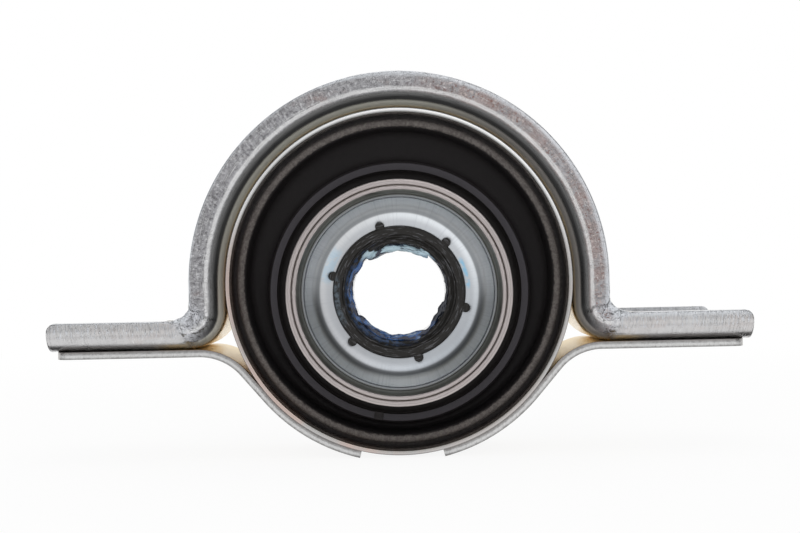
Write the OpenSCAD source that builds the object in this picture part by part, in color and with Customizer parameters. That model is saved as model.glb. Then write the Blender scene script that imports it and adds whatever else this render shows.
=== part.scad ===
// Driveshaft centre bearing: a ball bearing in a sleeve, hung by a rubber cushion
// inside a second sleeve, which a channel bracket and two bent straps hold to the car.
// The shaft runs along Y through the origin, the front is at -Y and +Z is up.

/* [Ball bearing] */
// Bore of the inner ring, which takes the shaft
bore_d = 30; // [26:0.5:32]
// Outside diameter of the outer ring
bearing_od = 67; // [65:0.5:70]
// Width of both bearing rings
bearing_w = 17; // [16:0.5:20]
// Diameter of the circle through the ball centres
pitch_d = 48.5; // [47.5:0.1:49.5]
// Diameter of a ball
ball_d = 10.3; // [9.5:0.1:10.6]
// Number of balls
ball_count = 9; // [7:1:10]
// Depth of the ball groove below the shoulder of a ring
groove_depth = 2; // [1.5:0.1:2.4]
// Radius of the groove as a multiple of the ball's radius
groove_fit = 1.04; // [1.02:0.01:1.08]
// Gap between a ball and the bottom of its groove
ball_gap = 0.08; // [0.04:0.01:0.1]
// Chamfer on the corners of both rings
ring_chamfer = 1; // [0.5:0.1:1.5]

/* [Ball cage and bearing seals] */
// Thickness of the cage sheet
cage_t = 0.8; // [0.6:0.1:1]
// Width of the cage band
cage_w = 3.9; // [3.2:0.1:4.4]
// Gap between a ball and its pocket
pocket_gap = 0.1; // [0.05:0.01:0.2]
// Diameter of a cage rivet
rivet_d = 1.6; // [1.2:0.1:1.8]
// Thickness of a bearing seal
disc_seal_t = 1.2; // [0.8:0.1:1.4]
// Depth of the seal below the face of the bearing
disc_seal_inset = 0.5; // [0.3:0.1:0.6]
// Depth of the seal's seat in the outer ring, outside the shoulder
disc_seat_depth = 1.5; // [1:0.1:1.8]
// Gap between the seal and the inner ring
disc_seal_gap = 0.3; // [0.2:0.1:0.5]

/* [Bearing sleeve] */
// Wall of the sleeve round the bearing
bearing_sleeve_t = 1.75; // [1.2:0.05:2.2]
// Length of the sleeve round the bearing
bearing_sleeve_l = 50; // [44:1:56]
// Wall of the retaining ring at the shield's seat
retainer_seat_t = 2.5; // [2:0.1:3]
// Wall of the retaining ring at the rim
retainer_rim_t = 1.5; // [1:0.1:1.9]

/* [Seal shield and lip] */
// Thickness of the shield's sheet
shield_t = 0.9; // [0.6:0.1:1.2]
// Distance of the shield's flat from the bearing's face
shield_gap = 1.6; // [1.4:0.1:2.4]
// Distance from the bearing's face to the shield's front edge
shield_depth = 9; // [8:0.5:11]
// Length of the shield's straight seat in the retaining ring
shield_seat_l = 1.6; // [1.2:0.1:2.4]
// Width of the shield's flat round its hole
shield_flat_w = 5.8; // [5.4:0.1:6.5]
// Inside radius of the bend between the shield's flat and its cone
shield_bend_r = 8; // [4:0.25:9]
// Inside radius of the bend between the shield's cone and its seat
shield_rim_r = 0.8; // [0.4:0.1:1.2]
// Depth of the rubber lip from the shield's hole towards the shaft
lip_depth = 4.5; // [4:0.1:5]
// Room between the lip and the bore's diameter, each side
lip_gap = 0.5; // [0.3:0.1:1]
// Width of the rubber bead that grips the shield's edge
bead_w = 1.7; // [1.2:0.1:2.2]
// Height of the rubber bead in front of the shield
bead_h = 1.5; // [1.2:0.1:1.8]
// Width of the groove between the bead and the lip's tip
lip_groove_w = 1.1; // [0.8:0.1:1.4]
// Depth of the groove between the bead and the lip's tip
lip_groove_h = 0.6; // [0.3:0.1:0.8]
// Number of rubber nubs that lock the lip in the shield
nub_count = 6; // [4:1:8]
// Width of a nub
nub_w = 3; // [2:0.1:3.6]
// Reach of a nub past the bead
nub_reach = 2; // [1:0.1:2.4]
// Angle of the first nub
nub_angle = 45.5; // [0:0.5:60]

/* [Outer sleeve] */
// Outside diameter of the sleeve round the cushion
outer_sleeve_d = 109; // [106:0.5:113]
// Wall of the sleeve round the cushion
outer_sleeve_t = 1.5; // [1:0.1:2]
// Length of the sleeve round the cushion
outer_sleeve_l = 40; // [32:1:42]
// Rounding of the sleeve's edges
outer_sleeve_edge = 0.4; // [0.2:0.1:0.5]

/* [Rubber cushion] */
// Height of the outer sleeve's axis above the shaft's axis
bearing_drop = 3.5; // [2:0.25:4]
// Thickness of the rubber round the bearing sleeve
inner_collar_t = 2.4; // [2:0.1:2.8]
// Thickness of the rubber inside the outer sleeve
outer_collar_t = 4; // [3:0.25:4.5]
// Thickness of the web between the two collars
cushion_web_t = 3.4; // [2.5:0.1:4.5]
// Distance of the web's front face behind the bearing's middle
cushion_web_y = 3; // [1:0.5:5]
// Reach of the crest in front of the bearing's middle
crest_reach = 13; // [12:0.5:15]
// Width of the groove between the bearing sleeve and the rib
rib_gap = 3.6; // [3.4:0.1:4]
// Width of the rib on the crest
rib_w = 2.1; // [1.5:0.1:2.4]
// Thickness of the convolution's wall behind the rib
flank_t = 3.2; // [2.8:0.1:3.6]
// Reach of both collars from the bearing's middle
collar_reach = 12; // [11.5:0.25:13]
// Width of the notch in the rib
notch_w = 3; // [2:0.25:5]
// Angle of the notch in the rib
notch_angle = 259.5; // [0:0.5:359.5]

/* [Upper bracket] */
// Sheet of the upper bracket
plate_t = 2.6; // [2:0.1:3]
// Width of the channel along the shaft
bracket_w = 40; // [37:0.5:46]
// Overall length of the bracket across the feet
bracket_l = 222; // [210:1:235]
// Outside radius of the bend between the web and its flanges
bend_r = 6.6; // [4:0.1:7.5]
// Height of the flange round the arch, from the web's inside
arch_flange_h = 11.4; // [9:0.1:12]
// Height of the flange on the feet, from their underside
foot_flange_h = 9.2; // [8.4:0.1:11]
// Underside of the feet below the shaft's axis
foot_drop = 16.8; // [14:0.2:19]
// Radius of the corner between the arch and a foot
corner_r = 12; // [10:0.5:14]
// Rounding of the flange where the arch meets a foot
flange_fillet = 4.5; // [1:0.25:6]
// Rounding of the flange at the end of a foot
flange_end_r = 3; // [1:0.25:5]
// Distance of the rear flange's ends from the ends of the feet
rear_flange_setback = 5.5; // [1:0.5:10]
// Height of the rear flange above its bend on the left foot
rear_left_rise = 1; // [0.5:0.1:2]
// Gap between the outer sleeve and the sheet that holds it
sleeve_fit = 0.1; // [0.05:0.01:0.2]

/* [Straps] */
// Sheet of a lower strap
strap_t = 2.3; // [1.8:0.1:2.8]
// Width of a strap along the shaft
strap_w = 36; // [32:0.5:40]
// Overall length across both straps
strap_span = 217; // [206:1:225]
// Radius of the bend under the foot
strap_bend_r = 17; // [14:0.5:20]
// Slope of the straight part of a strap
strap_slope = 49.4; // [46:0.2:52]
// Angle of a strap's end from the bottom of the sleeve
strap_end_angle = 13.6; // [8:0.2:24]
// Rounding of a strap's outer corners
strap_corner_r = 4; // [1:0.5:8]

/* [Bolts] */
// Distance between the two bolt holes
bolt_spacing = 176; // [164:1:184]
// Diameter of a bolt hole
bolt_d = 11; // [8.5:0.5:13]

/* [Hidden] */
$fn = 96;
steel_grey = [0.66, 0.66, 0.67];
sheet_grey = [0.60, 0.61, 0.63];
bright_steel = [0.78, 0.79, 0.80];
rubber_black = [0.09, 0.09, 0.09];
brass_tone = [0.62, 0.58, 0.46];

// Bearing radii and planes
bore_r = bore_d / 2;
pitch_r = pitch_d / 2;
ball_r = ball_d / 2;
groove_r = ball_r * groove_fit;
bearing_face = bearing_w / 2;
inner_groove_bottom = pitch_r - ball_r - ball_gap;
outer_groove_bottom = pitch_r + ball_r + ball_gap;
inner_shoulder_r = inner_groove_bottom + groove_depth;
outer_shoulder_r = outer_groove_bottom - groove_depth;
disc_seat_r = outer_shoulder_r + disc_seat_depth;
disc_seat_y = bearing_face - disc_seal_inset - disc_seal_t;

// Cage pockets
pocket_r = ball_r + pocket_gap;
pocket_shell_r = pocket_r + cage_t;
rivet_head_d = rivet_d * 1.5;
rivet_head_h = rivet_d * 0.3;

// Bearing sleeve, retaining ring, shield and lip
bearing_r = bearing_od / 2;
bearing_sleeve_r = bearing_r + bearing_sleeve_t;
rim_y = bearing_sleeve_l / 2;
retainer_seat_r = bearing_r - retainer_seat_t;
retainer_rim_r = bearing_r - retainer_rim_t;
shield_edge_y = bearing_face + shield_depth;
shield_back_y = bearing_face + shield_gap;
shield_front_y = shield_back_y + shield_t;
shield_seat_end_y = shield_edge_y - shield_seat_l;
shield_inner_r = retainer_seat_r - shield_t;
shield_hole_r = bore_r + lip_depth;
shield_flat_r = shield_hole_r + shield_flat_w;
lip_r = bore_r + lip_gap;
lip_root_r = shield_hole_r - 1.2;
nub_r = shield_hole_r + bead_w + nub_reach - nub_w / 2;

// Outer sleeve and cushion
sleeve_z = bearing_drop;
outer_sleeve_r = outer_sleeve_d / 2;
outer_sleeve_bore_r = outer_sleeve_r - outer_sleeve_t;
rib_r = bearing_sleeve_r + rib_gap;
inner_collar_r = bearing_sleeve_r + inner_collar_t;
flank_r = rib_r + rib_w + 1.6;
flank_back_r = flank_r - flank_t;
outer_collar_r = outer_sleeve_bore_r - outer_collar_t;
web_disc_r = flank_back_r + bearing_drop + 0.3;
web_reach_r = web_disc_r + bearing_drop + 0.5;
web_back_y = cushion_web_y + cushion_web_t;
groove_floor_y = -(crest_reach - 5);
rubber_fillet = 2.4;

// Bracket
web_r = outer_sleeve_r + sleeve_fit;
web_flat_w = bracket_w - 2 * bend_r;
flange_root = 1;
foot_x = web_r + corner_r;
corner_z = corner_r - foot_drop;

// Straps: the upper face hugs the sleeve, climbs at the slope and ends flat under the foot
strap_bend_z = -foot_drop - strap_t - strap_bend_r;
strap_top_bend_r = strap_bend_r + strap_t;
hug_x = web_r * sin(strap_slope);
hug_z = sleeve_z - web_r * cos(strap_slope);
climb_z = strap_bend_z + strap_top_bend_r * cos(strap_slope) - hug_z;
strap_flat_x = hug_x + climb_z / tan(strap_slope) + strap_top_bend_r * sin(strap_slope);
strap_steps = 12;

BALLS = [for (i = [1:ball_count]) str("ball_", i)];

// Points along an arc
function arc(centre, radius, from, to, steps = 6) =
    [for (i = [0:steps]) centre + radius * [cos(from + (to - from) * i / steps),
                                            sin(from + (to - from) * i / steps)]];

// A list of points from its end to its start
function reversed(points) = [for (i = [len(points) - 1:-1:0]) points[i]];

// Turns a profile of radius and Y round the shaft's axis
module turned() {
    rotate([-90, 0, 0]) rotate_extrude() children();
}

// Places a child at an angle round the shaft's axis, seen from the front
module at_angle(angle, radius) {
    rotate([0, -angle, 0]) translate([radius, 0, 0]) children();
}

// A bent strip or channel that follows an arc in the XZ plane
module bent(from, sweep) {
    rotate([90, 0, 0]) rotate([0, 0, from]) rotate_extrude(angle = sweep) children();
}

// The child and its mirror image behind the bearing
module rear_copy() {
    mirror([0, 1, 0]) children();
}

// Section of the upper bracket: the web, both bends and the foot of each flange
module channel_section() {
    translate([-web_flat_w / 2, 0]) square([web_flat_w, plate_t]);
    for (side = [0, 1]) {
        mirror([side, 0]) translate([web_flat_w / 2, bend_r]) {
            intersection() {
                difference() {
                    circle(bend_r);
                    circle(bend_r - plate_t);
                }
                translate([0, -bend_r]) square(bend_r);
            }
            translate([bend_r - plate_t, 0]) square([plate_t, flange_root]);
        }
    }
}

// Region inside the bracket's outline, at given heights above the web
module bracket_region(arch_h, foot_h, fillet) {
    side_x = web_r + arch_h;
    foot_z = foot_h - foot_drop;
    intersection() {
        translate([0, sleeve_z]) circle(side_x);
        translate([-side_x, -foot_drop]) square([2 * side_x, sleeve_z + foot_drop + side_x]);
    }
    translate([-side_x, -foot_drop]) square([2 * side_x, sleeve_z + foot_drop]);
    translate([-bracket_l / 2, -foot_drop]) square([bracket_l, foot_h]);
    for (side = [0, 1]) {
        mirror([side, 0]) translate([side_x, foot_z]) difference() {
            square(fillet);
            translate([fillet, fillet]) circle(fillet);
        }
    }
}

// Outline of one flange, from inside its root to its free edge
module flange_outline() {
    inside_h = bend_r + flange_root / 2;
    difference() {
        bracket_region(arch_flange_h, foot_flange_h, flange_fillet);
        bracket_region(inside_h, inside_h, corner_r - inside_h);
        for (side = [0, 1]) {
            mirror([side, 0])
                translate([bracket_l / 2 - flange_end_r, foot_flange_h - foot_drop - flange_end_r])
                    difference() {
                        square(flange_end_r);
                        circle(flange_end_r);
                    }
        }
    }
}

// What is trimmed off the rear flange: both its ends, and its upper edge on the left foot
module rear_flange_trim() {
    bend_top = bend_r - foot_drop;
    edge_z = foot_flange_h - foot_drop;
    low_z = bend_top + rear_left_rise;
    end_x = bracket_l / 2 - rear_flange_setback;
    end_r = min(flange_end_r, foot_flange_h - bend_r);
    step_x = web_r + arch_flange_h + flange_fillet;
    for (side = [0, 1]) {
        mirror([side, 0]) {
            translate([end_x, bend_top]) square(2 * rear_flange_setback);
            translate([end_x - end_r, edge_z - end_r]) difference() {
                square(2 * end_r);
                circle(end_r);
            }
        }
    }
    polygon([
        [-step_x, edge_z],
        [-step_x - 2 * (edge_z - low_z), low_z],
        [-bracket_l, low_z],
        [-bracket_l, edge_z + foot_flange_h],
        [-step_x, edge_z + foot_flange_h]]);
}

// Half of the bracket's web: straight side, corner bend and foot
module bracket_half() {
    translate([0, 0, corner_z]) linear_extrude(sleeve_z - corner_z)
        translate([web_r, 0]) rotate(-90) channel_section();
    translate([foot_x, 0, corner_z]) bent(180, 90)
        translate([corner_r, 0]) rotate(90) channel_section();
    translate([foot_x, 0, -foot_drop]) rotate([90, 0, 90])
        linear_extrude(bracket_l / 2 - foot_x) channel_section();
}

// Holes for the two bolts through the feet and straps
module bolt_holes() {
    for (x = [-1, 1]) {
        translate([x * bolt_spacing / 2, 0, -foot_drop])
            cylinder(d = bolt_d, h = 2 * (plate_t + strap_t), center = true);
    }
}

module upper_bracket() {
    color(sheet_grey) difference() {
        union() {
            translate([0, 0, sleeve_z]) bent(0, 180)
                translate([web_r, 0]) rotate(-90) channel_section();
            for (side = [0, 1]) {
                mirror([side, 0, 0]) bracket_half();
                translate([0, side * bracket_w - bracket_w / 2 + (1 - side) * plate_t, 0])
                    rotate([90, 0, 0]) linear_extrude(plate_t) flange_outline();
            }
        }
        bolt_holes();
        translate([0, bracket_w / 2 + plate_t, 0])
            rotate([90, 0, 0]) linear_extrude(3 * plate_t) rear_flange_trim();
    }
}

// Line of a strap's face at a depth below its upper face, from the sleeve to under the foot
function strap_face(depth) = concat(
    arc([0, sleeve_z], web_r + depth, strap_end_angle - 90, strap_slope - 90, strap_steps),
    arc([strap_flat_x, strap_bend_z], strap_top_bend_r - depth, 90 + strap_slope, 90, strap_steps),
    [[strap_span / 2, -foot_drop - depth]]);

// Side view of a strap
module strap_outline() {
    polygon(concat(strap_face(0), reversed(strap_face(strap_t))));
}

// Plan view of a strap, with rounded outer corners
module strap_plan() {
    difference() {
        translate([0, -strap_w / 2]) square([strap_span / 2, strap_w]);
        for (side = [0, 1]) {
            mirror([0, side])
                translate([strap_span / 2, strap_w / 2] - strap_corner_r * [1, 1]) difference() {
                    square(2 * strap_corner_r);
                    circle(strap_corner_r);
                }
        }
    }
}

module lower_strap_right() {
    color(steel_grey) difference() {
        intersection() {
            rotate([90, 0, 0]) linear_extrude(2 * strap_w, center = true) strap_outline();
            translate([0, 0, -outer_sleeve_d]) linear_extrude(2 * outer_sleeve_d) strap_plan();
        }
        bolt_holes();
    }
}

module lower_strap_left() {
    mirror([1, 0, 0]) lower_strap_right();
}

module outer_sleeve() {
    half = outer_sleeve_l / 2;
    edge = outer_sleeve_edge;
    color(bright_steel) translate([0, 0, sleeve_z]) turned() polygon(concat(
        arc([outer_sleeve_bore_r + edge, edge - half], edge, 180, 270, 4),
        arc([outer_sleeve_r - edge, edge - half], edge, 270, 360, 4),
        arc([outer_sleeve_r - edge, half - edge], edge, 0, 90, 4),
        arc([outer_sleeve_bore_r + edge, half - edge], edge, 90, 180, 4)));
}

// Section of the cushion round the bearing: collar, rib on the crest and convolution
module inner_cushion_section() {
    chamfer = 0.5;
    polygon(concat(
        [[bearing_sleeve_r, groove_floor_y - 1]],
        arc([bearing_sleeve_r + rib_gap / 2, groove_floor_y - 1], rib_gap / 2 - 0.2, 180, 0),
        [[rib_r, groove_floor_y - 1],
         [rib_r, chamfer - crest_reach],
         [rib_r + chamfer, -crest_reach],
         [rib_r + rib_w - chamfer, -crest_reach],
         [rib_r + rib_w, chamfer - crest_reach],
         [flank_r - 0.6, groove_floor_y - 1]],
        arc([flank_r + rubber_fillet, cushion_web_y - rubber_fillet], rubber_fillet, 180, 90),
        [[web_reach_r, cushion_web_y],
         [web_reach_r, web_back_y],
         [flank_back_r, web_back_y]],
        [[flank_back_r, groove_floor_y + 5],
         [inner_collar_r, groove_floor_y + 5],
         [inner_collar_r, collar_reach],
         [bearing_sleeve_r, collar_reach]]));
}

// Section of the cushion inside the outer sleeve: web and beaded collar
module outer_cushion_section() {
    bead_r = outer_collar_t * 0.35;
    polygon(concat(
        [[outer_sleeve_bore_r, 2 * bead_r - collar_reach],
         [outer_collar_r + 2 * bead_r, 2 * bead_r - collar_reach]],
        arc([outer_collar_r + bead_r, bead_r - collar_reach], bead_r, 360, 180),
        arc([outer_collar_r - rubber_fillet, cushion_web_y - rubber_fillet], rubber_fillet, 0, 90),
        [[web_disc_r, cushion_web_y],
         [web_disc_r, web_back_y],
         [outer_collar_r, web_back_y],
         [outer_collar_r, collar_reach],
         [outer_sleeve_bore_r, collar_reach]]));
}

module rubber_cushion() {
    color(rubber_black) difference() {
        union() {
            intersection() {
                turned() inner_cushion_section();
                translate([0, 0, sleeve_z]) turned() translate([0, -2 * crest_reach])
                    square([outer_sleeve_bore_r, 4 * crest_reach]);
            }
            translate([0, 0, sleeve_z]) turned() outer_cushion_section();
        }
        at_angle(notch_angle, rib_r + rib_w / 2)
            translate([0, -crest_reach, 0]) cube([2 * rib_w, rib_w, notch_w], center = true);
    }
}

module inner_sleeve() {
    color(bright_steel) turned()
        translate([bearing_r, -rim_y]) square([bearing_sleeve_t, bearing_sleeve_l]);
}

module front_retaining_ring() {
    color(steel_grey) turned() polygon([
        [bearing_r, -rim_y],
        [bearing_r, -bearing_face],
        [retainer_seat_r, -bearing_face],
        [retainer_seat_r, -shield_edge_y],
        [retainer_rim_r, -rim_y]]);
}

module rear_retaining_ring() {
    rear_copy() front_retaining_ring();
}

// Outline of a nub and of the notch that it fills, drawn towards +X
module nub_outline() {
    translate([nub_r, 0]) circle(d = nub_w);
    translate([shield_hole_r - bead_w / 2, -nub_w / 2])
        square([nub_r - shield_hole_r + bead_w / 2, nub_w]);
}

// Nubs all round, from one plane to another along the shaft
module nubs(from_y, to_y) {
    for (i = [0:nub_count - 1]) {
        at_angle(nub_angle + i * 360 / nub_count, 0)
            translate([0, to_y, 0]) rotate([90, 0, 0]) linear_extrude(to_y - from_y) nub_outline();
    }
}

module front_seal_shield() {
    cone_angle = atan2(shield_seat_end_y - shield_front_y, shield_inner_r - shield_flat_r);
    rise = 90 - cone_angle;
    bend = [shield_flat_r - shield_bend_r * tan(cone_angle / 2), -shield_front_y - shield_bend_r];
    rim = [shield_inner_r - shield_rim_r, -shield_seat_end_y - shield_rim_r * tan(rise / 2)];
    color(sheet_grey) difference() {
        turned() polygon(concat(
            [[retainer_seat_r, -shield_edge_y]],
            arc(rim, shield_rim_r + shield_t, 0, rise),
            arc(bend, shield_bend_r + shield_t, rise, 90),
            [[shield_hole_r, -shield_back_y],
             [shield_hole_r, -shield_front_y]],
            arc(bend, shield_bend_r, 90, rise),
            arc(rim, shield_rim_r, rise, 0),
            [[shield_inner_r, -shield_edge_y]]));
        nubs(-shield_front_y - shield_t, -shield_back_y + shield_t);
    }
}

module rear_seal_shield() {
    rear_copy() front_seal_shield();
}

module front_seal_lip() {
    bead_r = shield_hole_r + bead_w;
    bead_front_y = shield_front_y + bead_h;
    lip_front_y = bead_front_y + 1;
    lip_back_y = shield_back_y - 0.8;
    color(rubber_black) {
        turned() polygon([
            [shield_hole_r, -shield_back_y],
            [shield_hole_r, -shield_front_y],
            [bead_r, -shield_front_y],
            [bead_r, 0.5 - bead_front_y],
            [bead_r - 0.5, -bead_front_y],
            [lip_root_r, -bead_front_y],
            [lip_root_r - lip_groove_w / 4, lip_groove_h - bead_front_y],
            [lip_root_r - lip_groove_w * 3 / 4, lip_groove_h - bead_front_y],
            [lip_root_r - lip_groove_w, -bead_front_y],
            [lip_r + 0.6, -lip_front_y],
            [lip_r, 0.4 - lip_front_y],
            [lip_root_r - 1, -shield_front_y],
            [lip_r, -lip_back_y - 0.3],
            [lip_r + 0.6, -lip_back_y],
            [bead_r - 0.4, -lip_back_y],
            [bead_r - 0.4, -shield_back_y]]);
        nubs(-shield_front_y - bead_h * 0.6, -shield_back_y);
    }
}

module rear_seal_lip() {
    rear_copy() front_seal_lip();
}

module bearing_outer_ring() {
    seat_w = bearing_face - disc_seat_y;
    color(bright_steel) turned() difference() {
        polygon([
            [outer_shoulder_r, -bearing_face],
            [bearing_r - ring_chamfer, -bearing_face],
            [bearing_r, ring_chamfer - bearing_face],
            [bearing_r, bearing_face - ring_chamfer],
            [bearing_r - ring_chamfer, bearing_face],
            [outer_shoulder_r, bearing_face]]);
        translate([outer_groove_bottom - groove_r, 0]) circle(groove_r);
        for (side = [0, 1]) {
            mirror([0, side]) translate([outer_shoulder_r - disc_seat_depth, disc_seat_y])
                square([2 * disc_seat_depth, 2 * seat_w]);
        }
    }
}

module bearing_inner_ring() {
    color(bright_steel) turned() difference() {
        polygon([
            [bore_r, ring_chamfer - bearing_face],
            [bore_r + ring_chamfer, -bearing_face],
            [inner_shoulder_r, -bearing_face],
            [inner_shoulder_r, bearing_face],
            [bore_r + ring_chamfer, bearing_face],
            [bore_r, bearing_face - ring_chamfer]]);
        translate([inner_groove_bottom + groove_r, 0]) circle(groove_r);
    }
}

module bearing_seal_front() {
    front = bearing_face - disc_seal_inset;
    lip_inner_r = inner_shoulder_r + disc_seal_gap;
    color(rubber_black) turned() polygon([
        [disc_seat_r, -disc_seat_y],
        [disc_seat_r, -front],
        [lip_inner_r + disc_seal_t, -front],
        [lip_inner_r, -disc_seat_y - disc_seal_t / 2],
        [lip_inner_r, -disc_seat_y]]);
}

module bearing_seal_rear() {
    rear_copy() bearing_seal_front();
}

// Places a child at every ball, or half a step on at every rivet
module round_the_pitch(shift = 0) {
    for (i = [0:ball_count - 1]) {
        at_angle((i + shift) * 360 / ball_count, pitch_r) children();
    }
}

// A round bar along the radius at every ball, which shapes the cage's pockets
module pocket_bars(radius, length) {
    round_the_pitch() rotate([0, 90, 0]) cylinder(r = radius, h = length, center = true);
}

module cage_front() {
    color(brass_tone) difference() {
        intersection() {
            turned() translate([pitch_r - cage_w / 2, -pocket_shell_r - cage_t])
                square([cage_w, pocket_shell_r + cage_t]);
            union() {
                turned() translate([pitch_r - cage_w, -cage_t]) square([2 * cage_w, cage_t]);
                pocket_bars(pocket_shell_r, 2 * cage_w);
            }
        }
        pocket_bars(pocket_r, 3 * cage_w);
        round_the_pitch(0.5) rotate([90, 0, 0]) cylinder(d = rivet_d, h = 4 * cage_t, center = true);
    }
}

module cage_rear() {
    rear_copy() cage_front();
}

module cage_rivets() {
    color(steel_grey) round_the_pitch(0.5) rotate([90, 0, 0]) {
        cylinder(d = rivet_d, h = 2 * cage_t, center = true);
        for (side = [0, 1]) {
            mirror([0, 0, side]) translate([0, 0, cage_t]) cylinder(d = rivet_head_d, h = rivet_head_h);
        }
    }
}

module ball(number) {
    color(bright_steel) at_angle((number - 1) * 360 / ball_count, pitch_r) sphere(ball_r);
}

upper_bracket();
lower_strap_left();
lower_strap_right();
outer_sleeve();
rubber_cushion();
inner_sleeve();
front_retaining_ring();
rear_retaining_ring();
front_seal_shield();
rear_seal_shield();
front_seal_lip();
rear_seal_lip();
bearing_outer_ring();
bearing_inner_ring();
bearing_seal_front();
bearing_seal_rear();
cage_front();
cage_rear();
cage_rivets();
for (i = [1:ball_count]) {
    ball(i);
}
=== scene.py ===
"""Looks of a driveshaft centre bearing: bracket, straps, sleeves, rubber cushion, seal and grease."""
import math
import random

import bpy
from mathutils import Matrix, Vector


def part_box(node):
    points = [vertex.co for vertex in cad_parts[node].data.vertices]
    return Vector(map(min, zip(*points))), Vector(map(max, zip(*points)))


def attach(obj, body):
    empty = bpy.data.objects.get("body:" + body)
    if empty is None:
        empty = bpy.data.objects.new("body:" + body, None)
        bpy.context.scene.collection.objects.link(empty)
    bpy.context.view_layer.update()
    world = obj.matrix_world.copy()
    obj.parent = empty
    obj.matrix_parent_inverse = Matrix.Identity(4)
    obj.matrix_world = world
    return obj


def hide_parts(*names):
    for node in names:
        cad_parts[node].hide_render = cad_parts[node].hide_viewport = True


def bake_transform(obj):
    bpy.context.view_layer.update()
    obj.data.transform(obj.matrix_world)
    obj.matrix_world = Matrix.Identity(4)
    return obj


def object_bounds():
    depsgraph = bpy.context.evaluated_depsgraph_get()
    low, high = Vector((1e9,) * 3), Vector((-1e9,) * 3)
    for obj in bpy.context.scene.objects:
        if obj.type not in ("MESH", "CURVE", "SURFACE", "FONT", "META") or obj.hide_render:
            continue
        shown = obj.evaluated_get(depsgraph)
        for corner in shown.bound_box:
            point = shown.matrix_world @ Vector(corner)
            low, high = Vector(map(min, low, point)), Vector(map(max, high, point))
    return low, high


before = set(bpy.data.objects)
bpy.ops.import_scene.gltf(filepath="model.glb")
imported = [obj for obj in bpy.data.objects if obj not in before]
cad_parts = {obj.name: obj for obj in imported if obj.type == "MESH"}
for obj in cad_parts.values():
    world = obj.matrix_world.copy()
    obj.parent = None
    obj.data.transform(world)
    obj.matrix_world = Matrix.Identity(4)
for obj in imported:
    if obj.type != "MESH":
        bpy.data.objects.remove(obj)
cad_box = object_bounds()

MM = 0.001

# Points closer than this are one: in metres while a piece is drawn, in millimetres once it is cut
MERGE = 1e-6
WELD = 0.002
STRAP_WELD = 0.1

# Steps in which the pieces are drawn
TURN_STEPS = 192
ARCH_STEPS = 120
CORNER_STEPS = 14
SIDE_STEPS = 5
FOOT_STEPS = 24
BEND_STEPS = 12
WEB_STEPS = 10
STRAP_STEPS = 20
SHEET_STEPS = 12
HOLE_STEPS = 64
NUB_STEPS = 32
EDGE_STEPS = 3

# Faces that meet at less than this angle in degrees are shaded as one
SMOOTH_ANGLE = 35


def node_box(node):
    """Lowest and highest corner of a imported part, in millimetres."""
    low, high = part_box(node)
    return low / MM, high / MM


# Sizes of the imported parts, in millimetres
sleeve_low, sleeve_high = node_box("outer_sleeve")
bracket_low, bracket_high = node_box("upper_bracket")
_, strap_high = node_box("lower_strap_right")
_, tube_high = node_box("inner_sleeve")
_, retainer_high = node_box("front_retaining_ring")
shield_low, shield_high = node_box("front_seal_shield")
lip_low, lip_high = node_box("front_seal_lip")
cushion_low, cushion_high = node_box("rubber_cushion")

RING_Z = (sleeve_low.z + sleeve_high.z) / 2
RING_R = sleeve_high.x
RING_HALF = sleeve_high.y
RING_WALL = 1.5
RING_BORE_R = RING_R - RING_WALL
RING_EDGE = 0.45

# Upper bracket
WEB_R = RING_R + 0.1
BRACKET_END = bracket_high.x
BRACKET_SIDE = bracket_high.y
FOOT_Z = bracket_low.z
ARCH_FLANGE = bracket_high.z - RING_Z - WEB_R
FOOT_FLANGE = 9.2
PLATE = 2.6
BEND = 6.6
CORNER = 12
FLANGE_END_ROUND = 3
FLANGE_FILLET = 4.5
REAR_SETBACK = 5.5
REAR_LEFT_RISE = 1
ROLLED_EDGE = 0.6
ROLL_SHARES = (0, 0.05, 0.16, 0.33, 0.55, 0.8, 1)
FOOT_X = WEB_R + CORNER
CORNER_Z = FOOT_Z + CORNER
TOUCH = 0.01

# Sheet gathered in the corners between the flanges
GATHER_STEPS = 2
GATHER_REACH = 8
GATHER_FULL = 1.6
GATHER_LUMP = 2.6
GATHER_CRUMPLE = 1.6
GATHER_SMOOTHING = 10
FILLET_DEPTH = 4
FILLET_SPREAD = 1.6
FILLET_STEPS = 18
FILLET_ROWS = 12
FILLET_ROOT_ROWS = 4
FILLET_PROUD = 0.3
FILLET_EDGE = 0.5
FILLET_CRUMPLE = 1.8

# Straps
STRAP_END = strap_high.x
STRAP_SIDE = strap_high.y
STRAP_SHEET = 2.3
STRAP_SLOPE = 49.4
STRAP_HUG_END = 13.6
STRAP_BEND = 17
STRAP_CORNER_ROUND = 4
STRAP_EDGE = 0.35
BOLT_X = 88
BOLT_R = 5.5

# Bearing sleeve, retaining rings, shields and lips
TUBE_R = tube_high.x
TUBE_HALF = tube_high.y
TUBE_BORE_R = retainer_high.x
TUBE_EDGE = 0.4
RETAINER_BACK = -retainer_high.y
RETAINER_SEAT_R = 31
RETAINER_RIM_R = 32
RETAINER_JOINT = 0.45
RETAINER_EDGE = 0.25
SHIELD_SHEET = 0.9
SHIELD_EDGE_Y = -shield_low.y
SHIELD_BACK_Y = -shield_high.y
SHIELD_FRONT_Y = SHIELD_BACK_Y + SHIELD_SHEET
SHIELD_SEAT_L = 1.6
SHIELD_HOLE_R = 19.5
SHIELD_FLAT_R = 25.3
SHIELD_BEND = 8
SHIELD_RIM_BEND = 0.8
SHIELD_SHEET_EDGE = 0.2
LIP_R = 15.5
LIP_FRONT_Y = -lip_low.y
LIP_BACK_Y = -lip_high.y
LIP_BEAD_R = 21.2
LIP_BEAD_H = 1.5
LIP_BEAD_EDGE = 0.5
LIP_BACK_R = LIP_BEAD_R - 0.4
LIP_ROOT_R = SHIELD_HOLE_R - 1.2
LIP_GROOVE_W = 1.1
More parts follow.
